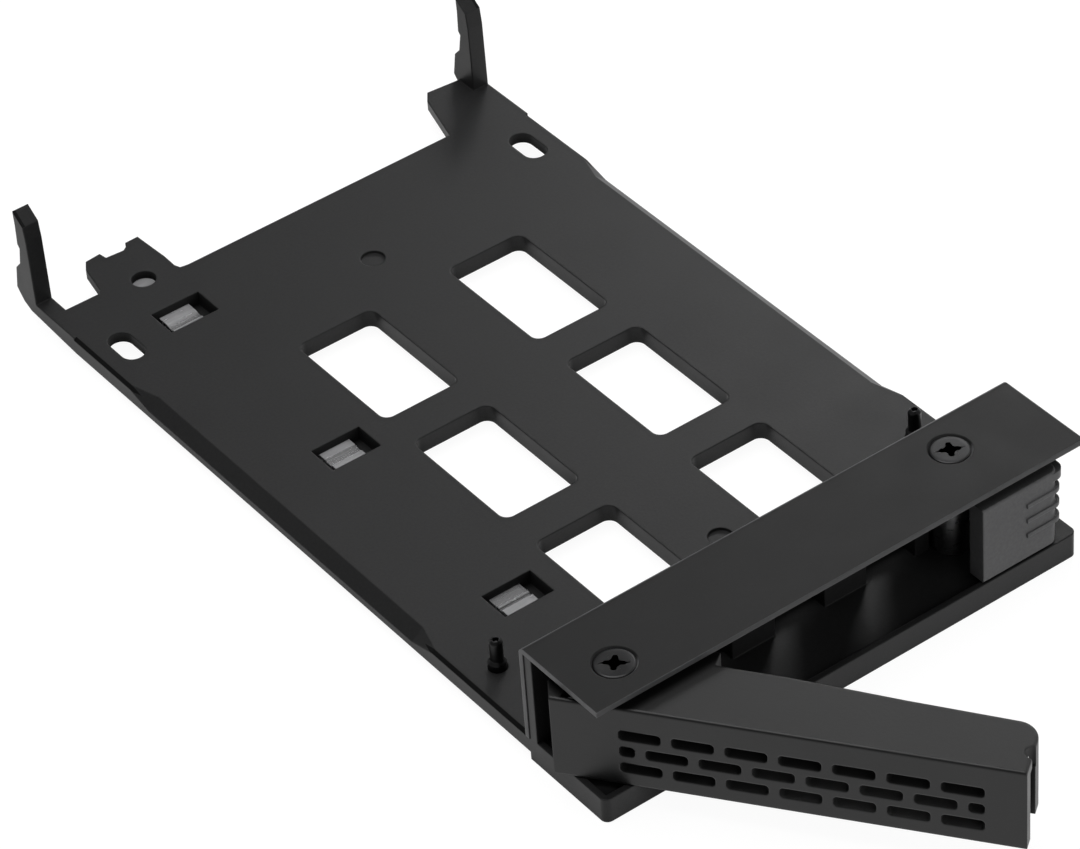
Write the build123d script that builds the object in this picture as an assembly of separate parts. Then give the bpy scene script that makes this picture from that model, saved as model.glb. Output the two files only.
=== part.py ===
from build123d import *
import math
import os

# Tray for one 2.5-inch drive, with a swing-out lever and a release button. Millimetres.
# The origin is the middle of the rear pair of drive slots, on the face the drive sits on.
# X runs to the right, Y to the connector end and Z up. The lever is open, as it is at rest.

# Drive interface: the bottom holes of a 2.5-inch drive
drive_hole_x = 61.72
drive_hole_y = 76.6

# Plate, as wide as the drive's holes and a margin at each side
seat_margin = 4.14
plate_width = drive_hole_x + 2 * seat_margin
plate_t = 2.4
plate_edge = 0.4
plate_rear_y = 8.5
slot_width = 3.2
slot_length = 6.0
slot_recess_width = 6.6
slot_recess_length = 9.4
slot_recess_depth = 0.9
dimple_d = 3.1
dimple_depth = 0.4
dimple_offset = 0.23
dimple_rear_y = -5.9
dimple_front_y = -75.6

# Side scoops: a facet along each top edge that fades out at both ends
scoop_width = 1.6
scoop_depth = 1.4
scoop_rear_y = -5.4
scoop_front_y = -71.0
scoop_ramp = 5.5

# Windows through the plate, two columns of three
window_x = 11.26
window_y = 18.7
window_radius = 1.3
window_pocket_gap = 3.11
window_right_margin = 15.97
window_rear_y = -23.28
window_pitch_y = 24.19
window_columns = 2
window_rows = 3

# Light pipe, the channel it lies in and the pockets over it
pipe_margin = 13.1
pipe_width = 4.4
pipe_t = 1.25
pipe_side_gap = 0.1
pipe_rear_y = 12.0
pipe_skin = 1.15
pipe_drop = 0.9
pipe_drop_rear_y = -86.5
pipe_drop_length = 3.0
pipe_front_inset = 0.3
pipe_hole_d = 3.2
pipe_hole_y = 9.75
pocket_margin = 13.3
pocket_width = 7.0
pocket_length = 4.65
pocket_depth = 2.0
pocket_ys = (0.8, -33.8, -68.1)

# Rear tabs, seen from above, measured from the plate's side and its rear edge
tab_t = 1.4
left_tab_root = 2.6
right_tab_root = 0.4
left_tab = [
    (18.95, 0.0), (17.9, 0.2), (17.6, 1.0), (17.65, 3.3), (17.3, 9.0), (15.4, 8.95),
    (15.0, 8.2), (14.4, 7.8), (11.9, 8.0), (11.7, 9.2), (9.5, 9.0), (8.6, 7.6),
    (7.7, 3.0), (7.3, 2.44), (2.5, 2.5),
]
right_tab = [(10.4, 0.0), (8.2, 7.9), (7.1, 9.4), (2.7, 9.0)]

# Rear arms, seen from the side: height over the seat against the distance from the rear edge
arm_width = 2.3
arm_root = 2.9
arm_profile = [
    (5.7, 0.0), (5.9, 9.6), (6.2, 11.9), (8.2, 13.3), (8.1, 11.3), (8.2, 8.2), (7.8, 7.7),
    (8.3, 5.1), (9.4, 3.9), (10.0, 0.5), (9.6, 0.0), (8.6, -1.05), (7.1, -1.7),
]

# Front housing
chin_rear_y = -88.1
chin_front_y = -101.9
chin_bottom_z = -3.5
chin_floor_z = -0.95
chin_rim_z = -0.1
chin_rim = 0.8
chin_right_rim = 4.2
chin_right_inset = 1.0
chin_corner = 0.9

# Folded sheet cover
sheet_t = 0.7
cover_overhang = 0.1
cover_rebate = 0.3
cover_rear_y = -87.5
cover_front_y = -101.7
cover_top_z = 13.2
cover_bend = 0.9

# Moulded wall under the cover, with air vents and the ribs between them
wall_t = 1.4
vent_width = 7.3
vent_left_margin = 8.55
vent_right_margin = 20.95
vent_count = 4
vent_low_z = 1.5
vent_high_z = 10.5
rib_depth = 2.6
rib_count = 2
end_rib_width = 2.1

# Countersunk screws and the posts they go into
hinge_margin = 6.39
hinge_y = -96.44
post_margin = 12.54
post_y = -93.0
screw_head_d = 5.4
screw_d = 3.0
screw_depth = 7.0
recess_length = 2.8
recess_width = 0.62
recess_depth = 1.2
hinge_post_d = 4.4
cover_post_d = 4.8
post_spigot_d = 3.0
post_spigot_depth = 2.0
collar_d = 6.6

# Stepped locating pins
pin_d = 1.6
pin_collar_d = 2.2
pin_height = 4.2
pin_collar_height = 0.9
pin_shoulder = 0.3
pin_seat_gap = 0.05
pin_seat_depth = 0.3
pin_shank_d = 1.8
pin_shank_depth = 1.9
pin_tip = 0.4

# Lever, in its closed position seen from its pivot: x to its tip, y to the rear
open_angle = 53.5
lever_front_y = -5.3
lever_left_x = -6.1
lever_button_gap = 1.21
lever_low_z = 0.15
lever_top_z = 11.4
lever_heel_r = 5.9
lever_heel_overhang = 0.85
lever_knuckle_x = 10.4
lever_back = [(10.4, 4.0), (19.0, 3.9), (32.0, 3.2)]
lever_tip_back_y = 2.75
lever_tip_flat = 2.0
lever_front_wall = 1.6
lever_hinge_wall = 2.6
lever_skin = 1.4
lever_tip_length = 4.2
lever_rib_t = 1.1
lever_tip_wall = 0.75
lever_tip_gap = 2.5
lever_tip_corner = 2.6
lever_notch_d = 2.0
lever_notch_offset = 0.7
lever_edge = 0.35
lever_bore_gap = 0.05
lever_sleeve_d = 7.2
spring_bay_d = 8.2
spring_bay_z = 9.4
spring_bay_rim = 0.5
spring_bay_heel = 1.2
lever_seat_gap = 0.1

# Air slots in the lever's front: three rows, the middle one shifted by half a pitch
air_web = 1.17
air_height = 1.45
air_corner = 0.5
air_first_x = 1.6
air_end_margin = 3.46
air_count = 7
air_row_zs = (2.65, 5.075, 7.5)

# Torsion spring round the hinge post
torsion_wire_d = 0.6
torsion_coil_d = 6.8
torsion_turns = 2
torsion_low_z = 10.05
torsion_high_z = 11.75
torsion_wall_x = 3.5
torsion_wall_gap = 0.3
torsion_lever_leg = (-4.5, -3.3)

# Release button, its guide and its return spring
button_margin = 2.8
button_length = 12.4
button_front_y = -101.85
button_depth = 2.4
button_low_z = 0.15
button_top_z = 10.9
button_wall = 1.3
button_round = 1.3
button_edge = 0.25
grip_count = 3
grip_low_z = 3.4
grip_pitch = 2.2
grip_height = 0.6
grip_side = 0.9
grip_proud = 0.5
grip_front = 0.2
grip_length = 5.9
cap_height = 1.4
tongue_left_inset = 2.2
tongue_right_inset = 4.1
tongue_depth = 1.25
tongue_gap = 0.2
guide_gap = 0.4
guide_t = 0.7
guide_top_z = 3.0
arm_inset = 5.8
button_arm_width = 2.0
button_arm_rear_y = -91.6
button_arm_low_z = 3.5
button_arm_high_z = 8.5
end_wall_t = 1.4
end_wall_front_y = -96.5
return_wire_d = 0.45
return_coil_d = 3.0
return_turns = 5
return_y = -94.0
return_z = 6.0
return_peg_d = 1.6
return_peg_length = 1.5

# How far a cutter runs past the face it cuts
cut_over = 1.0

# Derived places
half_width = plate_width / 2
seat_x = drive_hole_x / 2
cover_width = plate_width + 2 * cover_overhang
pipe_x = pipe_margin - half_width
pocket_x = pocket_margin - half_width
window_left_x = pocket_x + pocket_width / 2 + window_pocket_gap + window_x / 2
window_pitch_x = half_width - window_right_margin - window_x / 2 - window_left_x
dimple_x = window_left_x + window_pitch_x / 2 + dimple_offset
vent_right_x = half_width - vent_right_margin
vent_pitch = (plate_width - vent_left_margin - vent_right_margin) / (vent_count - 1)
hinge_x = hinge_margin - half_width
post_x = half_width - post_margin
button_right_x = half_width - button_margin
button_left_x = button_right_x - button_length
button_rear_y = button_front_y + button_depth
arm_left_x = button_left_x + arm_inset
lever_tip_x = button_left_x - lever_button_gap - hinge_x
lever_floor_end_x = lever_tip_x - lever_tip_length
air_pitch = (lever_tip_x - air_first_x - air_end_margin) / air_count
air_length = air_pitch - air_web
cover_under_z = cover_top_z - sheet_t
wall_rear_y = cover_rear_y - sheet_t
wall_front_y = wall_rear_y - wall_t
pipe_top_z = -pipe_skin
pipe_low_z = pipe_top_z - pipe_t
pipe_front_y = chin_front_y + pipe_front_inset
chin_right_x = half_width - chin_right_inset
end_wall_x = chin_right_x - end_wall_t


def block(x0, x1, y0, y1, z0, z1):
    """Box between two corners."""
    return Pos((x0 + x1) / 2, (y0 + y1) / 2, (z0 + z1) / 2) * Box(x1 - x0, y1 - y0, z1 - z0)


def rod(x, y, diameter, z0, z1):
    """Upright cylinder."""
    return Pos(x, y, (z0 + z1) / 2) * Cylinder(diameter / 2, z1 - z0)


def prism(points, z0, z1):
    """Outline seen from above, raised from z0 to z1."""
    return Pos(0, 0, z0) * extrude(make_face(Polyline(*points, close=True)), z1 - z0)


def profile_x(points, x0, x1):
    """Outline in the Y-Z plane, run along X from x0 to x1."""
    return extrude(Plane.YZ.offset(x0) * make_face(Polyline(*points, close=True)), x1 - x0)


def side_scoop():
    """Wedge taken off the right top edge, cut to length by a slanted plane at each end."""
    edge_top_rear = Vector(half_width, scoop_rear_y, 0)
    edge_top_front = Vector(half_width, scoop_front_y, 0)
    inner_rear = Vector(half_width - scoop_width, scoop_rear_y - scoop_ramp, 0)
    inner_front = Vector(half_width - scoop_width, scoop_front_y + scoop_ramp, 0)
    lower_rear = Vector(half_width, scoop_rear_y - scoop_ramp, -scoop_depth)
    lower_front = Vector(half_width, scoop_front_y + scoop_ramp, -scoop_depth)
    wedge = block(
        half_width - scoop_width, half_width + cut_over, scoop_front_y, scoop_rear_y, -scoop_depth, cut_over
    )
    reach = 2 * (scoop_rear_y - scoop_front_y)
    for a, b, c in (
        (edge_top_rear, inner_rear, lower_rear),
        (inner_rear, inner_front, lower_rear),
        (edge_top_front, inner_front, lower_front),
    ):
        normal = (b - a).cross(c - a).normalized()
        if normal.dot(Vector(1, 0, 1)) < 0:
            normal = normal * -1
        below = Plane(origin=a, z_dir=normal) * Box(
            reach, reach, reach, align=(Align.CENTER, Align.CENTER, Align.MAX)
        )
        wedge -= below
    return wedge


def arm():
    """Upright arm at the right rear corner, with the rail it grows from."""
    outline = [(plate_rear_y - arm_root, -plate_t), (plate_rear_y - arm_root, 0)]
    outline += [(plate_rear_y + dy, z) for dy, z in arm_profile]
    return profile_x(outline, half_width - arm_width, half_width)


def plate_outline():
    """Plate and both rear tabs seen from above."""
    inner_x = half_width - arm_width
    root_y = plate_rear_y - arm_root
    points = [(-half_width, wall_front_y), (half_width, wall_front_y), (half_width, root_y)]
    points += [(inner_x, root_y), (inner_x, plate_rear_y + right_tab[-1][1])]
    points += [(half_width - dx, plate_rear_y + dy) for dx, dy in reversed(right_tab)]
    points += [(dx - half_width, plate_rear_y + dy) for dx, dy in left_tab]
    points += [(-inner_x, plate_rear_y + left_tab[-1][1]), (-inner_x, root_y), (-half_width, root_y)]
    return points


def pipe_profile(top_z, low_z, rear_y, front_y):
    """Side outline of the light pipe, which steps down before it enters the front housing."""
    step_y = pipe_drop_rear_y - pipe_drop_length
    return [
        (rear_y, top_z), (pipe_drop_rear_y, top_z), (step_y, top_z - pipe_drop), (front_y, top_z - pipe_drop),
        (front_y, low_z - pipe_drop), (step_y, low_z - pipe_drop), (pipe_drop_rear_y, low_z), (rear_y, low_z),
    ]


def vent_xs():
    """Centres of the air vents, from the right."""
    return [vent_right_x - k * vent_pitch for k in range(vent_count)]


def make_vents(y0, y1):
    """Cutters for the vents, from y0 to y1."""
    return [
        block(x - vent_width / 2, x + vent_width / 2, y0, y1, vent_low_z, vent_high_z) for x in vent_xs()
    ]


def make_tray():
    """Plate, tabs, arms, front housing and the wall under the cover, moulded in one."""
    tray = prism(plate_outline(), -plate_t, 0)
    right_arm = arm()
    tray += [right_arm, mirror(right_arm, about=Plane.YZ)]

    # front housing with a low rim
    corners = [
        (-half_width, chin_front_y), (chin_right_x, chin_front_y),
        (chin_right_x, chin_rear_y), (-half_width, chin_rear_y),
    ]
    chin = prism(corners, chin_bottom_z, chin_rim_z)
    chin = fillet(chin.edges().filter_by(Axis.Z).group_by(Axis.Y)[0], chin_corner)
    inner = half_width - chin_rim
    chin -= block(
        -inner, half_width - chin_right_rim, chin_front_y + chin_rim, wall_front_y, chin_floor_z, cut_over
    )
    tray += chin

    # wall under the cover and the wall that carries the button's spring
    tray += block(-half_width, half_width, wall_front_y, wall_rear_y, chin_bottom_z, cover_under_z)
    tray += block(end_wall_x, chin_right_x, end_wall_front_y, wall_front_y, chin_floor_z, cover_under_z)
    tray += Pos(end_wall_x - return_peg_length / 2, return_y, return_z) * Rot(0, 90, 0) * Cylinder(
        return_peg_d / 2, return_peg_length
    )
    rib_xs = [vent_right_x - (k + 0.5) * vent_pitch for k in range(rib_count)]
    rib_half = (vent_pitch - vent_width) / 2
    for x in rib_xs:
        tray += block(
            x - rib_half, x + rib_half, wall_front_y - rib_depth, wall_front_y, chin_floor_z, cover_under_z
        )
    end_rib_x = vent_right_x + vent_width / 2
    tray += block(
        end_rib_x, end_rib_x + end_rib_width, wall_front_y - rib_depth, wall_front_y,
        chin_floor_z, cover_under_z,
    )
    tray -= make_vents(wall_front_y - cut_over, wall_rear_y + cut_over)
    # step that the cover's folded edge stands in
    tray -= block(
        -half_width - cut_over, half_width + cut_over, wall_rear_y, cover_rear_y, -cover_rebate, cut_over
    )

    # rail behind the button
    guide_front_y = button_rear_y + guide_gap
    tray += block(
        button_left_x + button_wall, button_right_x - button_wall,
        guide_front_y, guide_front_y + guide_t, chin_floor_z, guide_top_z,
    )

    # underside of the rear tabs
    inner_x = half_width - arm_width
    for side_x, root, tab in ((-inner_x, left_tab_root, left_tab), (inner_x, right_tab_root, right_tab)):
        reach_x = math.copysign(half_width - max(dx for dx, dy in tab) - cut_over, side_x)
        tray -= block(
            min(side_x, reach_x), max(side_x, reach_x), plate_rear_y + root,
            plate_rear_y + 2 * max(dy for dx, dy in tab), -plate_t - cut_over, -tab_t,
        )

    # drive slots with room for the screw heads below, windows, dimples
    through = plate_t + 2 * cut_over
    for side in (-1, 1):
        slot = extrude(Rot(0, 0, 90) * SlotOverall(slot_length, slot_width), through)
        tray -= Pos(side * seat_x, 0, -plate_t - cut_over) * slot
        recess = extrude(
            Rot(0, 0, 90) * SlotOverall(slot_recess_length, slot_recess_width), slot_recess_depth + cut_over
        )
        tray -= Pos(side * seat_x, 0, -plate_t - cut_over) * recess
    for column in range(window_columns):
        for row in range(window_rows):
            hole = extrude(RectangleRounded(window_x, window_y, window_radius), through)
            x = window_left_x + column * window_pitch_x
            y = window_rear_y - row * window_pitch_y
            tray -= Pos(x, y, -plate_t - cut_over) * hole
    for y in (dimple_rear_y, dimple_front_y):
        tray -= rod(dimple_x, y, dimple_d, -dimple_depth, cut_over)
    scoop = side_scoop()
    tray -= [scoop, mirror(scoop, about=Plane.YZ)]
    # bevel along both long edges of the plate
    bevel_rear_y = plate_rear_y - arm_root
    bevel = plate_edge * math.sqrt(2)
    for side in (-1, 1):
        tray -= Pos(side * half_width, (bevel_rear_y + cover_rear_y) / 2, 0) * Rot(0, 45, 0) * Box(
            bevel, bevel_rear_y - cover_rear_y, bevel
        )

    # light-pipe channel under the plate, its hole in the tab and the pockets over it
    half_channel = pipe_width / 2 + pipe_side_gap
    channel = profile_x(
        pipe_profile(
            pipe_top_z, chin_bottom_z - cut_over, pipe_rear_y + pipe_side_gap, chin_front_y - cut_over
        ),
        pipe_x - half_channel, pipe_x + half_channel,
    )
    tray -= channel
    tray -= rod(pipe_x, pipe_hole_y, pipe_hole_d, -plate_t, cut_over)
    for y in pocket_ys:
        tray -= block(
            pocket_x - pocket_width / 2, pocket_x + pocket_width / 2,
            y - pocket_length / 2, y + pocket_length / 2, -pocket_depth, cut_over,
        )

    # holes for the locating pins and the post spigots
    for side in (-1, 1):
        tray -= rod(side * seat_x, -drive_hole_y, pin_shank_d, -pin_shank_depth, cut_over)
        tray -= rod(side * seat_x, -drive_hole_y, pin_collar_d + 2 * pin_seat_gap, -pin_seat_depth, cut_over)
    for x, y in ((hinge_x, hinge_y), (post_x, post_y)):
        tray -= rod(x, y, post_spigot_d, chin_floor_z - post_spigot_depth, chin_floor_z + cut_over)
    return tray


def screw_solid(x, y, recess):
    """Countersunk screw whose head is flush with the cover's top."""
    cone_height = (screw_head_d - screw_d) / 2
    screw = Pos(x, y, cover_top_z - cone_height / 2) * Cone(screw_d / 2, screw_head_d / 2, cone_height)
    screw += rod(x, y, screw_d, cover_top_z - screw_depth, cover_top_z - cone_height)
    if recess:
        for turn in (45, 135):
            cross = Plane.XY.rotated((0, 0, turn)) * Rectangle(recess_length, recess_width)
            screw -= Pos(x, y, cover_top_z) * extrude(cross, -recess_depth, taper=12)
    return screw


def make_cover():
    """Sheet folded once along its rear edge, with vents and two countersunk holes."""
    half = cover_width / 2
    cover = block(-half, half, cover_front_y, cover_rear_y, cover_under_z, cover_top_z)
    cover += block(-half, half, wall_rear_y, cover_rear_y, -cover_rebate, cover_top_z)
    bend = [
        e for e in cover.edges().filter_by(Axis.X)
        if e.center().Y > cover_rear_y - 0.01 and e.center().Z > cover_top_z - 0.01
    ]
    cover = fillet(bend, cover_bend)
    cover -= make_vents(wall_rear_y - cut_over, cover_rear_y + cut_over)
    for x, y in ((hinge_x, hinge_y), (post_x, post_y)):
        cover -= screw_solid(x, y, False)
    return cover


def make_post(x, y, diameter, collar):
    """Standoff from the housing floor to the cover, with a spigot in the floor."""
    post = rod(x, y, diameter, chin_floor_z, cover_under_z)
    post += rod(x, y, post_spigot_d, chin_floor_z - post_spigot_depth, chin_floor_z)
    if collar:
        post += rod(x, y, collar_d, chin_floor_z, lever_low_z - lever_seat_gap)
    return post - screw_solid(x, y, False)


def make_pin(side):
    """Stepped pin that enters a drive's bottom hole."""
    x = side * seat_x
    y = -drive_hole_y
    pin = rod(x, y, pin_shank_d, -pin_shank_depth, 0)
    pin += rod(x, y, pin_collar_d, -pin_seat_depth, pin_collar_height)
    pin += Pos(x, y, pin_collar_height + pin_shoulder / 2) * Cone(pin_collar_d / 2, pin_d / 2, pin_shoulder)
    pin += rod(x, y, pin_d, pin_collar_height, pin_height)
    tip = pin.edges().filter_by(GeomType.CIRCLE).sort_by(Axis.Z)[-1]
    return chamfer(tip, pin_tip)


def make_light_pipe():
    """Clear bar that runs from under the left tab to the front."""
    half = pipe_width / 2
    return profile_x(
        pipe_profile(pipe_top_z, pipe_low_z, pipe_rear_y, pipe_front_y), pipe_x - half, pipe_x + half
    )


def lever_face():
    """Outline of the closed lever seen from above, measured from its pivot."""
    heel = [(lever_heel_r * math.cos(math.radians(a)), lever_heel_r * math.sin(math.radians(a))) for a in
            (150, 120, 90)]
    left_x = lever_left_x - lever_heel_overhang
    left_y = lever_front_y + lever_hinge_wall
    lines = Polyline(
        (heel[2]), (lever_knuckle_x, lever_heel_r), *lever_back,
        (lever_tip_x - lever_tip_flat, lever_tip_back_y), (lever_tip_x, lever_tip_back_y),
        (lever_tip_x, lever_front_y), (lever_left_x, lever_front_y),
        (left_x, left_y), (heel[0]),
    )
    return make_face(Curve() + [lines, ThreePointArc(heel[0], heel[1], heel[2])])


def make_lever():
    """Hollow lever with air slots, open at its back, made closed and then swung open."""
    lever = Pos(0, 0, lever_low_z) * extrude(lever_face(), lever_top_z - lever_low_z, dir=(0, 0, 1))
    tip_edges = lever.edges().filter_by(Axis.Z).group_by(Axis.X)[-1].sort_by(Axis.Y)
    lever = fillet(tip_edges[-1], lever_tip_corner)
    top_edges = lever.faces().sort_by(Axis.Z)[-1].edges()
    lever = fillet(
        [
            e for e in top_edges
            if e.center().Y < lever_front_y + 0.01 or e.center().X > lever_tip_x - lever_tip_flat
        ],
        lever_edge,
    )

    roof_z = lever_top_z - lever_skin
    floor_z = lever_low_z + lever_skin
    inside_y = lever_front_y + lever_front_wall
    behind = lever_heel_r + 2 * cut_over
    below = lever_low_z - cut_over
    above = lever_top_z + cut_over
    rib_x = lever_knuckle_x + lever_rib_t

    # hollow body, open to the rear
    lever -= block(rib_x, lever_floor_end_x, inside_y, behind, floor_z, roof_z)
    # tip pocket, open to the rear and below, with a wall left at the tip
    pocket_x0 = lever_floor_end_x + lever_rib_t
    tip_x = lever_tip_x - lever_tip_wall
    lever -= block(pocket_x0, tip_x, inside_y, behind, below, roof_z)
    past_tip = lever_tip_x + cut_over
    lever -= block(pocket_x0, past_tip, inside_y, inside_y + lever_tip_gap, below, roof_z)
    lever -= block(pocket_x0, past_tip, inside_y, behind, below, floor_z)
    # notch in the top at the tip
    notch_y = inside_y + lever_tip_gap
    lever -= Pos(lever_tip_x, notch_y - lever_notch_offset, lever_top_z) * Cylinder(
        lever_notch_d / 2, 4 * lever_skin
    )

    # hinge end: a sleeve round the post between two lugs, open to the left and the rear
    hinge_inside_y = lever_front_y + lever_hinge_wall
    lug_z = spring_bay_z - lever_skin
    void = block(
        lever_left_x - 2 * cut_over, lever_knuckle_x, hinge_inside_y, behind, floor_z, lug_z
    )
    void -= rod(0, 0, lever_sleeve_d, floor_z, lug_z)
    lever -= void
    # bay for the torsion spring in the top, and room for the spring's leg
    lever -= rod(0, 0, spring_bay_d, spring_bay_z, above)
    lever -= block(
        lever_left_x + spring_bay_heel, 0, lever_front_y + spring_bay_rim, hinge_inside_y, spring_bay_z, above
    )
    lever -= rod(0, 0, hinge_post_d + 2 * lever_bore_gap, below, above)

    # air slots
    for row, z in enumerate(air_row_zs):
        for x0, x1 in air_row(row):
            slot = RectangleRounded(x1 - x0, air_height, air_corner)
            cut = extrude(
                Plane.XZ.offset(-inside_y - cut_over) * Pos((x0 + x1) / 2, z) * slot,
                lever_front_wall + 2 * cut_over,
            )
            lever -= cut
    return Pos(hinge_x, hinge_y, 0) * Rot(0, 0, -open_angle) * lever


def air_row(row):
    """Ends of each slot in a row; the middle row starts and ends with a short one."""
    last_x = air_first_x + (air_count - 1) * air_pitch + air_length
    full = [(air_first_x + k * air_pitch, air_first_x + k * air_pitch + air_length) for k in range(air_count)]
    if row % 2 == 0:
        return full
    moved = [(x0 + air_pitch / 2, x1 + air_pitch / 2) for x0, x1 in full[:-1]]
    wall = air_pitch - air_length
    return [(air_first_x, moved[0][0] - wall)] + moved + [(moved[-1][1] + wall, last_x)]


def tangent_angle(target, radius, side):
    """Angle on a circle at the origin from which a tangent reaches the target."""
    reach = math.hypot(*target)
    return math.degrees(math.atan2(target[1], target[0])) + side * math.degrees(math.acos(radius / reach))


def make_coil(pitch, height, radius, wire_d, legs=(0, 0)):
    """Round wire wound up the Z axis, with a straight leg of the given length at each end."""
    helix = Helix(pitch=pitch, height=height, radius=radius)
    low, high = helix @ 0, helix @ 1
    runs = helix.edges()
    if legs[0]:
        runs = [Line(low - (helix % 0) * legs[0], low)] + runs
    if legs[1]:
        runs = runs + [Line(high, high + (helix % 1) * legs[1])]
    path = Wire([edge for run in runs for edge in run.edges()])
    section = Plane(origin=path @ 0, z_dir=path % 0) * Circle(wire_d / 2)
    return sweep(section, path=path, is_frenet=True)


def make_torsion_spring():
    """Coil round the hinge post: the lower leg pushes the lever, the upper one bears on the wall."""
    radius = torsion_coil_d / 2
    turn = math.radians(-open_angle)
    leg_x, leg_y = torsion_lever_leg
    low_leg = (leg_x * math.cos(turn) - leg_y * math.sin(turn), leg_x * math.sin(turn) + leg_y * math.cos(turn))
    wall_leg = (torsion_wall_x, wall_front_y - hinge_y - torsion_wall_gap - torsion_wire_d / 2)
    start = tangent_angle(low_leg, radius, 1)
    end = tangent_angle(wall_leg, radius, -1)
    wound = (end - start) % 360 + 360 * torsion_turns
    height = torsion_high_z - torsion_low_z
    legs = [math.sqrt(math.hypot(*leg) ** 2 - radius ** 2) for leg in (low_leg, wall_leg)]
    coil = make_coil(height * 360 / wound, height, radius, torsion_wire_d, legs)
    return Pos(hinge_x, hinge_y, torsion_low_z) * Rot(0, 0, start) * coil


def make_button():
    """Button with a ribbed right end, a tongue in the housing and an arm to its spring."""
    wall = button_wall
    button = block(
        button_left_x, button_right_x - grip_side, button_front_y, button_rear_y, button_low_z, button_top_z
    )
    front = button.edges().filter_by(Axis.Z).group_by(Axis.Y)[0].sort_by(Axis.X)
    button = fillet(front[-1], button_round)
    button = fillet(button.faces().sort_by(Axis.Y)[0].edges().filter_by(Axis.X), button_edge)
    rib_right_x = button_right_x - grip_side + grip_proud
    ribs = [(grip_low_z + k * grip_pitch, grip_height, grip_front, rib_right_x) for k in range(grip_count)]
    ribs.append((button_top_z - cap_height, cap_height - button_edge, 0, button_right_x))
    for z, height, proud, right_x in ribs:
        rib = block(
            button_right_x - grip_length, right_x, button_front_y - proud, button_rear_y, z, z + height
        )
        corner = rib.edges().filter_by(Axis.Z).group_by(Axis.Y)[0].sort_by(Axis.X)[-1]
        button += fillet(corner, button_round)
    button -= block(
        button_left_x + wall, button_right_x - wall - grip_side, button_front_y + wall, button_rear_y + cut_over,
        button_low_z + wall, button_top_z - wall,
    )
    arm_right_x = arm_left_x + button_arm_width
    button += block(
        arm_left_x, arm_right_x, button_front_y + wall, button_arm_rear_y, button_arm_low_z, button_arm_high_z
    )
    button += Pos(arm_right_x + return_peg_length / 2, return_y, return_z) * Rot(0, 90, 0) * Cylinder(
        return_peg_d / 2, return_peg_length
    )
    tongue_front_y = chin_front_y + chin_rim + guide_gap
    button += block(
        button_left_x + tongue_left_inset, button_right_x - tongue_right_inset,
        tongue_front_y, tongue_front_y + tongue_depth, chin_floor_z + tongue_gap, button_low_z + wall,
    )
    return button


def make_return_spring():
    """Compression spring between the button's arm and the housing's end wall."""
    x0 = arm_left_x + button_arm_width + return_wire_d / 2
    x1 = end_wall_x - return_wire_d / 2
    length = x1 - x0
    coil = make_coil(length / return_turns, length, return_coil_d / 2, return_wire_d)
    return Pos(x0, return_y, return_z) * Rot(0, 90, 0) * coil


parts = {
    "tray_plate": make_tray(),
    "cover_bracket": make_cover(),
    "cover_screw_left": screw_solid(hinge_x, hinge_y, True),
    "cover_screw_right": screw_solid(post_x, post_y, True),
    "hinge_post": make_post(hinge_x, hinge_y, hinge_post_d, True),
    "cover_post": make_post(post_x, post_y, cover_post_d, False),
    "handle": make_lever(),
    "handle_spring": make_torsion_spring(),
    "release_button": make_button(),
    "button_spring": make_return_spring(),
    "light_pipe": make_light_pipe(),
    "locating_pin_left": make_pin(-1),
    "locating_pin_right": make_pin(1),
}

os.makedirs("parts", exist_ok=True)
for name, solid in parts.items():
    export_step(solid, f"parts/{name}.step")
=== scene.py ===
import bmesh
import bpy
import math
from mathutils import Matrix, Vector

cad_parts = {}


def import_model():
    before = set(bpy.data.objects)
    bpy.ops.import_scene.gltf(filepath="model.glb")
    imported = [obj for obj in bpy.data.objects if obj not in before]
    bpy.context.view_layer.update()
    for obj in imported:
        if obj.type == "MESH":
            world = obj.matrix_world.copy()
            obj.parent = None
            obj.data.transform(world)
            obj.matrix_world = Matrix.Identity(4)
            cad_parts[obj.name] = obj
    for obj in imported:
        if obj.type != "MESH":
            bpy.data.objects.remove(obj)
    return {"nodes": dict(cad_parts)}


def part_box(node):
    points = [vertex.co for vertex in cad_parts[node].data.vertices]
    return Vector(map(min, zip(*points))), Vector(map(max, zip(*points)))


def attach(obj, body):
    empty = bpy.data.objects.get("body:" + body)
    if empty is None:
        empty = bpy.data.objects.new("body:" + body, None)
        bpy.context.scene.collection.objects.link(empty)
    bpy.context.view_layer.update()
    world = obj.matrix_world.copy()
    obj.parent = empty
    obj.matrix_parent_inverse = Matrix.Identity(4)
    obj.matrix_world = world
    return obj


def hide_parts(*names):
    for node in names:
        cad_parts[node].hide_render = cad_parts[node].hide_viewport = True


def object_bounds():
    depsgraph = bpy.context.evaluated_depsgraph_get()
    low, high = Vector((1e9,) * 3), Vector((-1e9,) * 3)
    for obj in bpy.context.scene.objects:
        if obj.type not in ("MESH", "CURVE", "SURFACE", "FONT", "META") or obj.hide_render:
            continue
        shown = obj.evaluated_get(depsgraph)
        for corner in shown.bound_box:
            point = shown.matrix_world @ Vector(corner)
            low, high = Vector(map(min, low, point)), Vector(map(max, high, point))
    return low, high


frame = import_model()
cad_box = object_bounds()

MM = 0.001

# Forms that the finishes follow, in millimetres
PLATE_HALF_WIDTH = 35.0
PLATE_EDGE = 0.4
COVER_HALF_WIDTH = 35.1
COVER_FRONT_Y = -101.7
PIPE_TOP_Z = -1.15
PIPE_TROUGH_Z = -1.45

# Screws
HEAD_TOP_Z = 13.12
HEAD_R = 2.45
CONE_FOOT_Z = 12.0
SHANK_R = 1.47
SHANK_TIP_Z = 6.22
SHANK_TIP_BEVEL = 0.28
SCREW_TURNS = {"left": -42, "right": -28}

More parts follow.
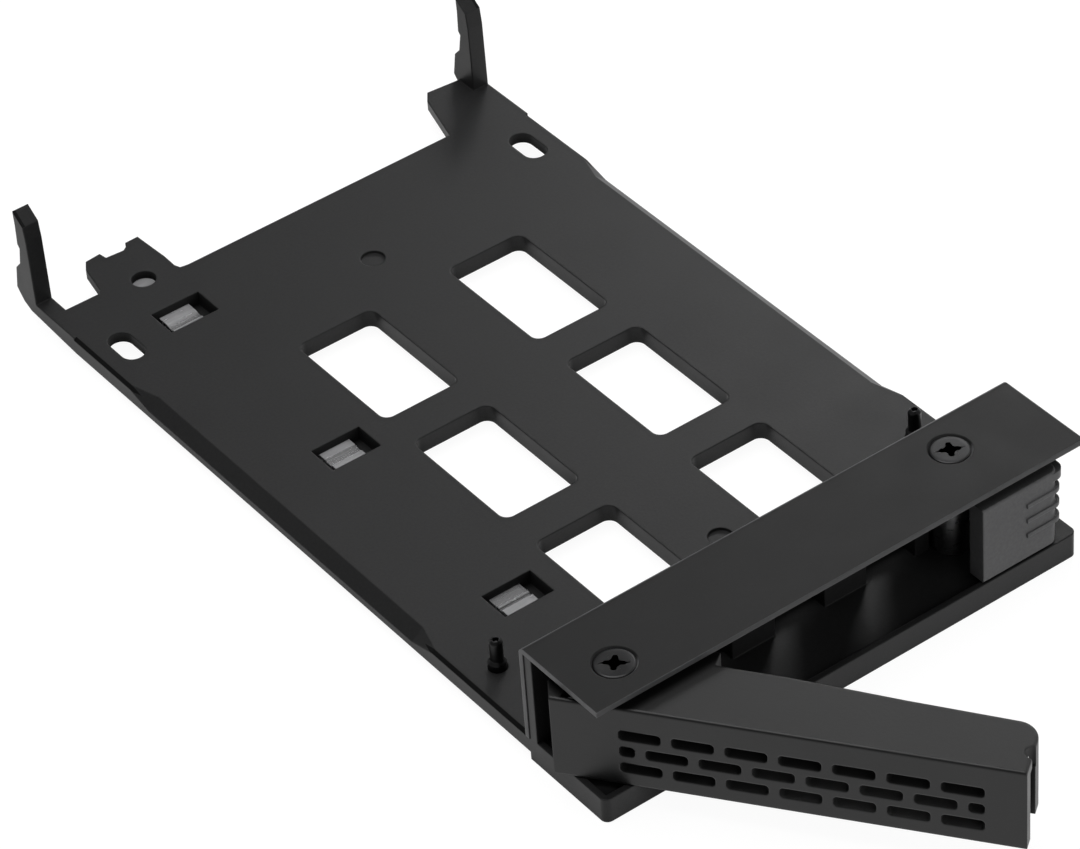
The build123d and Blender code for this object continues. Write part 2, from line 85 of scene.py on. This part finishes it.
# Light pipe
PIPE_LOW_Z = -2.4
PIPE_DROP = 0.9
PIPE_REAR_Y = 12.0
PIPE_DROP_REAR_Y = -86.5
PIPE_DROP_FRONT_Y = -89.5
PIPE_FRONT_Y = -101.6
PIPE_EDGE = 0.07

# Floor and light
FLOOR_GAP = 0.05
FLOOR_GREY = 0.12
FLOOR_GLOW = 0.94
WORLD_LIGHT = 0.24

# Camera, fitted to the photo: metres, degrees, and a focal length in the photo's pixels
CAMERA_PLACE = (-0.26558, -0.43538, 0.39199)
CAMERA_ELEVATION = 39.777
CAMERA_AZIMUTH = 34.116
CAMERA_ROLL = -4.459
FOCAL_PIXELS = 5120
PHOTO_WIDTH = 1080
SENSOR_WIDTH = 36


class Finish:
    """A material with one Principled shader and small helpers that add nodes to it."""

    def __init__(self, name):
        self.material = bpy.data.materials.new(name)
        self.material.use_nodes = True
        self.tree = self.material.node_tree
        self.tree.nodes.clear()
        out = self.tree.nodes.new("ShaderNodeOutputMaterial")
        self.shader = self.node("ShaderNodeBsdfPrincipled")
        self.join(self.shader.outputs["BSDF"], out.inputs["Surface"])
        self.coordinates = self.node("ShaderNodeTexCoord")
        self.place = self.coordinates.outputs["Object"]

    def node(self, kind, **settings):
        n = self.tree.nodes.new(kind)
        for key, value in settings.items():
            setattr(n, key, value)
        return n

    def join(self, a, b):
        self.tree.links.new(a, b)

    def feed(self, colour, roughness, normal):
        """Give the shader its colour, roughness and bumped normal."""
        self.join(colour, self.shader.inputs["Base Color"])
        self.join(roughness, self.shader.inputs["Roughness"])
        self.join(normal, self.shader.inputs["Normal"])

    def constants(self, **values):
        for key, value in values.items():
            self.shader.inputs[key.replace("_", " ")].default_value = value

    def axes(self, vector):
        """The X, Y and Z parts of a vector, by name."""
        n = self.node("ShaderNodeSeparateXYZ")
        self.join(vector, n.inputs["Vector"])
        return n.outputs

    def facing(self):
        """The X, Y and Z parts of the direction that the surface faces."""
        return self.axes(self.coordinates.outputs["Normal"])

    def stretched(self, scale):
        m = self.node("ShaderNodeMapping")
        m.inputs["Scale"].default_value = scale
        self.join(self.place, m.inputs["Vector"])
        return m.outputs["Vector"]

    def noise(self, scale, detail=2.0, roughness=0.5, vector=None):
        n = self.node("ShaderNodeTexNoise")
        n.inputs["Scale"].default_value = scale
        n.inputs["Detail"].default_value = detail
        n.inputs["Roughness"].default_value = roughness
        self.join(vector or self.place, n.inputs["Vector"])
        return n.outputs["Fac"]

    def ranged(self, value, low, high, to_low=0.0, to_high=1.0):
        n = self.node("ShaderNodeMapRange", clamp=True)
        for key, v in (("From Min", low), ("From Max", high), ("To Min", to_low), ("To Max", to_high)):
            n.inputs[key].default_value = v
        self.join(value, n.inputs["Value"])
        return n.outputs["Result"]

    def maths(self, operation, a, b):
        n = self.node("ShaderNodeMath", operation=operation)
        for socket, v in zip(n.inputs, (a, b)):
            if isinstance(v, (int, float)):
                socket.default_value = v
            else:
                self.join(v, socket)
        return n.outputs["Value"]

    def tones(self, factor, dark, light):
        """A colour from dark at 0 to light at 1. A Mix node's colour sockets have numbers, not names."""
        n = self.node("ShaderNodeMix", data_type="RGBA", blend_type="MIX")
        factor_socket, dark_socket, light_socket = n.inputs[0], n.inputs[6], n.inputs[7]
        for socket, v in ((dark_socket, dark), (light_socket, light)):
            if isinstance(v, tuple):
                socket.default_value = (*v, 1.0)
            else:
                self.join(v, socket)
        self.join(factor, factor_socket)
        mixed = n.outputs[2]
        return mixed

    def clouded(self, cloud, dark, light):
        """A colour that drifts between two tones with a noise."""
        return self.tones(self.ranged(cloud, 0.3, 0.7), dark, light)

    def round_edges(self, radius):
        n = self.node("ShaderNodeBevel", samples=8)
        n.inputs["Radius"].default_value = radius
        return n.outputs["Normal"]

    def edge_mask(self, rounded, low=0.02, high=0.22):
        """1 on the outer and inner corners, 0 on flat faces."""
        flat = self.node("ShaderNodeNewGeometry").outputs["Normal"]
        dot = self.node("ShaderNodeVectorMath", operation="DOT_PRODUCT")
        self.join(rounded, dot.inputs[0])
        self.join(flat, dot.inputs[1])
        return self.ranged(dot.outputs["Value"], 1 - high, 1 - low, 1.0, 0.0)

    def recesses(self, reach, low, high, alone):
        """1 far inside slots and under covers, 0 on open faces: the mask of the painted shade."""
        n = self.node("ShaderNodeAmbientOcclusion", samples=8, only_local=alone)
        n.inputs["Distance"].default_value = reach
        return self.ranged(n.outputs["AO"], low, high, 1.0, 0.0)

    def long_bevel(self, half_width, width):
        """1 on the narrow bevels along both long top edges, which are painted in shade and made rougher so
        they keep no shine.
        """
        place = self.axes(self.place)
        slope = self.facing()["Z"]
        side = self.maths("ABSOLUTE", place["X"], 0.0)
        masks = (
            self.ranged(side, (half_width - width * 1.15) * MM, (half_width - width) * MM),
            self.ranged(slope, 0.3, 0.5),
            self.ranged(place["Z"], -width * 1.3 * MM, -width * 1.15 * MM),
            self.ranged(slope, 0.8, 0.95, 1.0, 0.0),
        )
        mask = masks[0]
        for other in masks[1:]:
            mask = self.maths("MULTIPLY", mask, other)
        return mask

    def bump(self, height, strength, distance, normal=None):
        n = self.node("ShaderNodeBump")
        n.inputs["Strength"].default_value = strength
        n.inputs["Distance"].default_value = distance
        self.join(height, n.inputs["Height"])
        if normal is not None:
            self.join(normal, n.inputs["Normal"])
        return n.outputs["Normal"]


def grey(v):
    """A grey that leans very slightly to blue."""
    return (v, v, v * 1.02)


def moulded(
    name, tone, grain_scale=2600, gloss=(0.38, 0.44), corner=0.28, edge=1.7, specular=0.2,
    shade=(9, 0.2, 0.6, False), bevel=None,
):
    """Spark-textured black plastic: fine grain, very faint cloudiness, thin corners painted lighter as a
    highlight, recesses painted darker as shade.

    edge is how many times lighter the painted corner highlight makes the corners. shade holds how far the
    painted shade of a recess reaches in mm, the two limits of its openness, and whether it looks at its own
    piece alone. bevel holds the plate's half width and its bevel's width, in mm; that bevel is painted in
    shade too.
    """
    f = Finish(name)
    grain = f.noise(grain_scale, 3.0, 0.65)
    rounded = f.round_edges(corner * MM)
    # Painted highlight: the corners are coloured lighter, broken up by a noise.
    highlight_breakup = f.noise(420, 4.0, 0.6)
    corners = f.maths("MULTIPLY", f.edge_mask(rounded), f.ranged(highlight_breakup, 0.3, 0.7, 0.45, 1.0))
    body = f.clouded(f.noise(38, 3.0), grey(tone * 0.95), grey(tone * 1.05))
    speckled = f.tones(f.ranged(grain, 0.35, 0.75, 0.0, 0.5), body, grey(tone * 1.5))
    edge_highlighted = f.tones(corners, speckled, grey(tone * edge))
    # Painted shade: recesses, and the plate's long bevels, are coloured darker and made rougher.
    reach, low, high, alone = shade
    painted_shade_mask = f.recesses(reach * MM, low, high, alone)
    if bevel:
        painted_shade_mask = f.maths("MAXIMUM", painted_shade_mask, f.long_bevel(*bevel))
    gloss_drift = f.ranged(f.noise(150, 3.0, 0.6), 0.3, 0.7, *gloss)
    f.feed(
        colour=f.tones(painted_shade_mask, edge_highlighted, grey(tone * 0.2)),
        roughness=f.maths("ADD", gloss_drift, f.maths("MULTIPLY", painted_shade_mask, 0.6)),
        normal=f.bump(grain, 0.3, 0.03 * MM, rounded),
    )
    f.constants(Specular_IOR_Level=specular)
    return f.material


def painted_sheet(name, tone):
    """Satin black paint on folded sheet: fine orange peel, dust specks, and the cut edges and fold painted
    paler as highlights.
    """
    f = Finish(name)
    place = f.axes(f.place)
    facing = f.facing()
    side = f.maths("ABSOLUTE", place["X"], 0.0)
    toward_rear = f.ranged(facing["Y"], 0.2, 0.45)
    toward_top = f.ranged(facing["Z"], 0.2, 0.45)
    fold = f.maths("MULTIPLY", toward_rear, toward_top)
    front_cut = f.ranged(place["Y"], (COVER_FRONT_Y + 0.04) * MM, (COVER_FRONT_Y + 0.1) * MM, 1.0, 0.0)
    side_cut = f.ranged(side, (COVER_HALF_WIDTH - 0.08) * MM, (COVER_HALF_WIDTH - 0.02) * MM)

    body = f.clouded(f.noise(45, 3.0), grey(tone * 0.95), grey(tone * 1.05))
    dust = f.noise(3600, 2.0, 0.7)
    colour = f.tones(f.ranged(dust, 0.55, 0.8, 0.0, 0.6), body, grey(tone * 2.0))
    patchy = f.ranged(f.noise(300, 4.0, 0.6), 0.3, 0.6, 0.7, 1.0)
    # Painted highlights: the fold and the cut edges are coloured paler, each with its own grey.
    for mask, highlight_grey in ((fold, 0.10), (front_cut, 0.09), (side_cut, 0.2)):
        colour = f.tones(f.maths("MULTIPLY", mask, patchy), colour, grey(highlight_grey))
    f.feed(
        colour=colour,
        roughness=f.ranged(f.noise(160, 3.0), 0.3, 0.7, 0.42, 0.48),
        normal=f.bump(f.noise(1500, 3.0, 0.6), 0.2, 0.03 * MM, f.round_edges(0.2 * MM)),
    )
    f.constants(Specular_IOR_Level=0.22)
    return f.material


def metal(name, tone, rough=(0.25, 0.4), scratch_scale=(500, 500, 4000), corner=0.12):
    """Bare or blackened steel with fine turning marks."""
    f = Finish(name)
    marks = f.noise(1.0, 3.0, 0.6, f.stretched(scratch_scale))
    f.feed(
        colour=f.clouded(f.noise(350, 3.0), grey(tone * 0.8), grey(tone * 1.15)),
        roughness=f.ranged(marks, 0.3, 0.7, *rough),
        normal=f.bump(marks, 0.2, 0.01 * MM, f.round_edges(corner * MM)),
    )
    f.constants(Metallic=1.0)
    return f.material


def clear_bar(name):
    """Clear acrylic bar, slightly hazy, with painted shade in its troughs and faint flow lines."""
    f = Finish(name)
    flow = f.noise(1.0, 3.0, 0.5, f.stretched((300, 1600, 900)))
    # Painted shade: the bar is coloured darker in its troughs and lower parts than on its raised top.
    raised = f.ranged(f.axes(f.place)["Z"], PIPE_TROUGH_Z * MM, (PIPE_TOP_Z - 0.01) * MM)
    haze_with_painted_trough_shade = f.tones(raised, grey(0.10), grey(0.56))
    f.feed(
        colour=f.tones(f.ranged(flow, 0.35, 0.65, 0.0, 0.35), haze_with_painted_trough_shade, grey(0.3)),
        roughness=f.ranged(flow, 0.3, 0.7, 0.16, 0.3),
        normal=f.bump(flow, 0.1, 0.02 * MM),
    )
    f.constants(Transmission_Weight=0.6, IOR=1.49)
    return f.material


# Each plastic's edge sets its painted corner highlight, and its shade sets the painted shade in its
# recesses.
tray_plastic = moulded("tray_black_plastic", 0.018, bevel=(PLATE_HALF_WIDTH, PLATE_EDGE))
lever_plastic = moulded(
    "lever_black_plastic", 0.004, grain_scale=2300, corner=0.3, edge=6, specular=0.4,
    shade=(14, 0.35, 0.8, True),
)
button_plastic = moulded(
    "button_dark_plastic", 0.12, gloss=(0.4, 0.5), edge=1.4, specular=0.25, shade=(10, 0.3, 0.7, False)
)
screw_black = metal("screw_black_oxide", 0.035, rough=(0.28, 0.38), corner=0.08)
screw_bare = metal("screw_worn_steel", 0.7, rough=(0.12, 0.22), corner=0.05)
pin_black = metal("pin_black_oxide", 0.03, rough=(0.3, 0.42), scratch_scale=(700, 700, 5200))
acrylic = clear_bar("light_pipe_acrylic")
finishes = {
    "tray_plate": tray_plastic,
    "handle": lever_plastic,
    "release_button": button_plastic,
    "cover_bracket": painted_sheet("cover_satin_paint", 0.0055),
    "cover_screw_left": screw_black,
    "cover_screw_right": screw_black,
    "hinge_post": metal("hinge_post_steel", 0.3),
    "cover_post": metal("cover_post_steel", 0.4),
    "light_pipe": acrylic,
    "locating_pin_left": pin_black,
    "locating_pin_right": pin_black,
    "handle_spring": metal("lever_spring_steel", 0.35, rough=(0.3, 0.45)),
    "button_spring": metal("button_spring_steel", 0.3),
}
for node, material in finishes.items():
    for slot in frame["nodes"][node].material_slots:
        slot.material = material


def keep(bm, name, material, node):
    """Turn the bmesh into the piece that stands for the CAD node and rides on the tray."""
    mesh = bpy.data.meshes.new(name)
    bm.to_mesh(mesh)
    bm.free()
    mesh.materials.append(material)
    piece = bpy.data.objects.new(name, mesh)
    bpy.context.scene.collection.objects.link(piece)
    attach(piece, "tray")
    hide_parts(node)
    return piece


def verts_of(geometry):
    return [g for g in geometry if isinstance(g, bmesh.types.BMVert)]


def turned(profile, steps=48):
    """Spin a profile of (radius, height) points, in mm, round the upright axis."""
    bm = bmesh.new()
    line = [bm.verts.new((r * MM, 0, z * MM)) for r, z in profile]
    edges = [bm.edges.new(pair) for pair in zip(line, line[1:])]
    bmesh.ops.spin(
        bm, geom=line + edges, cent=(0, 0, 0), axis=(0, 0, 1), angle=math.tau, steps=steps, use_merge=True,
        dvec=(0, 0, 0),
    )
    bmesh.ops.remove_doubles(bm, verts=bm.verts, dist=1e-7)
    return bm


def set_upright(bm, node):
    """Move a turned piece from the origin onto the CAD node's own axis."""
    low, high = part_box(node)
    bmesh.ops.translate(bm, verts=bm.verts, vec=((low[0] + high[0]) / 2, (low[1] + high[1]) / 2, 0))


def cross_outline():
    """The mouth of a cross recess, in mm: one wing's round end and the hollow beside it, four times."""
    wing = [
        (1.07, -0.33), (1.19, -0.25), (1.25, -0.09), (1.25, 0.09), (1.19, 0.25), (1.07, 0.33),
        (0.86, 0.34), (0.68, 0.37), (0.57, 0.44), (0.5, 0.5), (0.44, 0.57), (0.37, 0.68),
    ]
    points = []
    for k in range(4):
        c, s = round(math.cos(k * math.pi / 2)), round(math.sin(k * math.pi / 2))
        points += [(c * x - s * y, s * x + c * y) for x, y in wing]
    return points


def cross_head_screw(side):
    """Countersunk screw a little smaller than its countersink, with a tapered cross recess."""
    node = "cover_screw_" + side
    bm = turned([
        (HEAD_R - 0.55, HEAD_TOP_Z), (HEAD_R - 0.25, HEAD_TOP_Z - 0.01), (HEAD_R - 0.09, HEAD_TOP_Z - 0.05),
        (HEAD_R, HEAD_TOP_Z - 0.14), (HEAD_R - 0.09, HEAD_TOP_Z - 0.26), (SHANK_R, CONE_FOOT_Z),
        (SHANK_R, SHANK_TIP_Z + SHANK_TIP_BEVEL), (1.2, SHANK_TIP_Z), (0, SHANK_TIP_Z),
    ])
    rim = [e for e in bm.edges if e.is_boundary]
    mouth = [bm.verts.new((x * MM, y * MM, HEAD_TOP_Z * MM)) for x, y in cross_outline()]
    outline = [bm.edges.new(pair) for pair in zip(mouth, mouth[1:] + mouth[:1])]
    bmesh.ops.bridge_loops(bm, edges=rim + outline)
    for narrowing, depth, slot in ((0.8, 0.12, 1), (0.5, 0.8, 0)):
        before = set(bm.faces)
        down = bmesh.ops.extrude_edge_only(bm, edges=outline)["geom"]
        for face in set(bm.faces) - before:
            face.material_index = slot
        outline = [g for g in down if isinstance(g, bmesh.types.BMEdge)]
        bmesh.ops.scale(bm, vec=(narrowing, narrowing, 1), verts=verts_of(down))
        bmesh.ops.translate(bm, vec=(0, 0, -depth * MM), verts=verts_of(down))
    bmesh.ops.edgeloop_fill(bm, edges=outline)
    bmesh.ops.recalc_face_normals(bm, faces=bm.faces)
    turn = Matrix.Rotation(math.radians(SCREW_TURNS[side]), 3, "Z")
    bmesh.ops.rotate(bm, verts=bm.verts, cent=(0, 0, 0), matrix=turn)
    set_upright(bm, node)
    keep(bm, "screw_" + side, screw_black, node).data.materials.append(screw_bare)


def stepped_pin(side):
    """Turned locating pin: drilled tip, 1.6 mm upper part, 2.2 mm collar and a shank in the plate."""
    node = "locating_pin_" + side
    bm = turned([
        (0, 3.6), (0.32, 3.72), (0.36, 4.14), (0.42, 4.2), (0.5, 4.17), (0.75, 3.88), (0.8, 3.78),
        (0.8, 1.26), (0.84, 1.18), (1.05, 0.94), (1.1, 0.86), (1.1, -0.3),
        (0.9, -0.3), (0.9, -1.8), (0.8, -1.9), (0, -1.9),
    ], steps=40)
    bmesh.ops.recalc_face_normals(bm, faces=bm.faces)
    set_upright(bm, node)
    keep(bm, "pin_" + side, pin_black, node)


def light_bar():
    """Acrylic bar with a step down at the front, and moulded ridges under each pocket."""
    (x0, _, _), (x1, _, _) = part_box("light_pipe")
    top = PIPE_TOP_Z
    ridges = {
        0.8: [(2.9, top), (0.7, top), (-0.35, -1.42), (-0.55, -1.42), (-0.65, -1.2), (-2.9, -1.2)],
        -33.8: [(2.9, top), (1.15, top), (0.85, -1.34), (-0.2, -1.34), (-0.3, top), (-2.9, top)],
        -68.1: [
            (2.9, -1.3), (0.95, -1.3), (0.85, -1.24), (0.5, -1.24), (0.4, -1.42), (0.1, -1.42), (-0.05, top),
            (-2.9, top),
        ],
    }
    outline = [(PIPE_REAR_Y, top)]
    for pocket_y, ridge in ridges.items():
        outline += [(pocket_y + dy, z) for dy, z in ridge]
    outline += [
        (PIPE_DROP_REAR_Y, top), (PIPE_DROP_FRONT_Y, top - PIPE_DROP), (PIPE_FRONT_Y, top - PIPE_DROP),
        (PIPE_FRONT_Y, PIPE_LOW_Z - PIPE_DROP), (PIPE_DROP_FRONT_Y, PIPE_LOW_Z - PIPE_DROP),
        (PIPE_DROP_REAR_Y, PIPE_LOW_Z), (PIPE_REAR_Y, PIPE_LOW_Z),
    ]
    bm = bmesh.new()
    side = bm.faces.new([bm.verts.new((x0, y * MM, z * MM)) for y, z in outline])
    grown = bmesh.ops.extrude_face_region(bm, geom=[side], use_keep_orig=True)["geom"]
    bmesh.ops.translate(bm, verts=verts_of(grown), vec=(x1 - x0, 0, 0))
    bmesh.ops.recalc_face_normals(bm, faces=bm.faces)
    bmesh.ops.bevel(
        bm, geom=bm.edges[:], offset=PIPE_EDGE * MM, offset_type="OFFSET", affect="EDGES", segments=2,
        profile=0.5, material=-1, clamp_overlap=True,
    )
    keep(bm, "light_bar", acrylic, "light_pipe")


for side in ("left", "right"):
    cross_head_screw(side)
for side in ("left", "right"):
    stepped_pin(side)
light_bar()


def floor_material():
    """Matt grey for light, and an even pale glow for the camera, a mirror or a clear piece."""
    m = bpy.data.materials.new("pale_floor")
    m.use_nodes = True
    t = m.node_tree
    t.nodes.clear()
    out = t.nodes.new("ShaderNodeOutputMaterial")
    matt = t.nodes.new("ShaderNodeBsdfDiffuse")
    matt.inputs["Color"].default_value = (*[FLOOR_GREY] * 3, 1)
    path = t.nodes.new("ShaderNodeLightPath")
    seen = path.outputs["Is Camera Ray"]
    for kind in ("Is Glossy Ray", "Is Transmission Ray"):
        either = t.nodes.new("ShaderNodeMath")
        either.operation = "MAXIMUM"
        t.links.new(seen, either.inputs[0])
        t.links.new(path.outputs[kind], either.inputs[1])
        seen = either.outputs[0]
    level = t.nodes.new("ShaderNodeMath")
    level.operation = "MULTIPLY"
    level.inputs[1].default_value = FLOOR_GLOW
    t.links.new(seen, level.inputs[0])
    glow = t.nodes.new("ShaderNodeEmission")
    t.links.new(level.outputs[0], glow.inputs["Strength"])
    both = t.nodes.new("ShaderNodeAddShader")
    t.links.new(matt.outputs[0], both.inputs[0])
    t.links.new(glow.outputs[0], both.inputs[1])
    t.links.new(both.outputs[0], out.inputs["Surface"])
    return m


def floor():
    low_z = cad_box[0][2]
    bm = bmesh.new()
    bmesh.ops.create_grid(bm, x_segments=4, y_segments=4, size=3.0)
    bmesh.ops.translate(bm, verts=bm.verts, vec=(0, 0, low_z - FLOOR_GAP * MM))
    mesh = bpy.data.meshes.new("pale_floor")
    bm.to_mesh(mesh)
    bm.free()
    mesh.materials.append(floor_material())
    obj = bpy.data.objects.new("pale_floor", mesh)
    bpy.context.scene.collection.objects.link(obj)


def softbox(name, where, aim, size, watts, spread=180):
    """A rectangular lamp that faces the point it aims at."""
    lamp = bpy.data.lights.new(name, "AREA")
    lamp.spread = math.radians(spread)
    lamp.shape = "RECTANGLE"
    lamp.size, lamp.size_y = size
    lamp.energy = watts
    obj = bpy.data.objects.new(name, lamp)
    bpy.context.scene.collection.objects.link(obj)
    obj.location = where
    obj.rotation_euler = (Vector(aim) - Vector(where)).to_track_quat("-Z", "Y").to_euler()


def world():
    w = bpy.data.worlds.new("studio")
    bpy.context.scene.world = w
    w.use_nodes = True
    back = w.node_tree.nodes["Background"]
    back.inputs["Color"].default_value = (1, 1, 1, 1)
    back.inputs["Strength"].default_value = WORLD_LIGHT


def camera():
    """The photo's camera, turned by its azimuth, elevation and roll."""
    elevation, azimuth, roll = (math.radians(v) for v in (CAMERA_ELEVATION, CAMERA_AZIMUTH, CAMERA_ROLL))
    level = math.cos(elevation)
    away = Vector((math.sin(azimuth) * level, math.cos(azimuth) * level, -math.sin(elevation)))
    right = Vector((math.cos(azimuth), -math.sin(azimuth), 0))
    up = right.cross(away)
    tilt = Matrix.Rotation(-roll, 3, away)
    right, up = tilt @ right, tilt @ up
    cam = bpy.data.cameras.new("photo_camera")
    cam.sensor_width, cam.sensor_fit = SENSOR_WIDTH, "HORIZONTAL"
    cam.lens = FOCAL_PIXELS / PHOTO_WIDTH * SENSOR_WIDTH
    cam.clip_start, cam.clip_end = 0.01, 20
    obj = bpy.data.objects.new("photo_camera", cam)
    bpy.context.scene.collection.objects.link(obj)
    turn = Matrix((right, up, -away)).transposed().to_4x4()
    obj.matrix_world = Matrix.Translation(Vector(CAMERA_PLACE)) @ turn
    bpy.context.scene.camera = obj


floor()
world()
softbox("overhead_softbox", (-0.05, 0.12, 0.95), (0, -0.04, 0), (0.8, 0.5), 4.6)
softbox("right_softbox", (0.8, 0.0, 0.45), (0, -0.05, 0), (0.5, 0.5), 1.2)
softbox("gradient_softbox", (0.43, 0.33, 0.36), (0.04, 0.01, 0), (0.2, 0.2), 0.04, spread=34)
softbox("front_softbox", (0.1, -0.85, 0.35), (0, -0.05, 0), (0.6, 0.5), 1.7)
camera()

bpy.context.scene.view_settings.view_transform = "Standard"
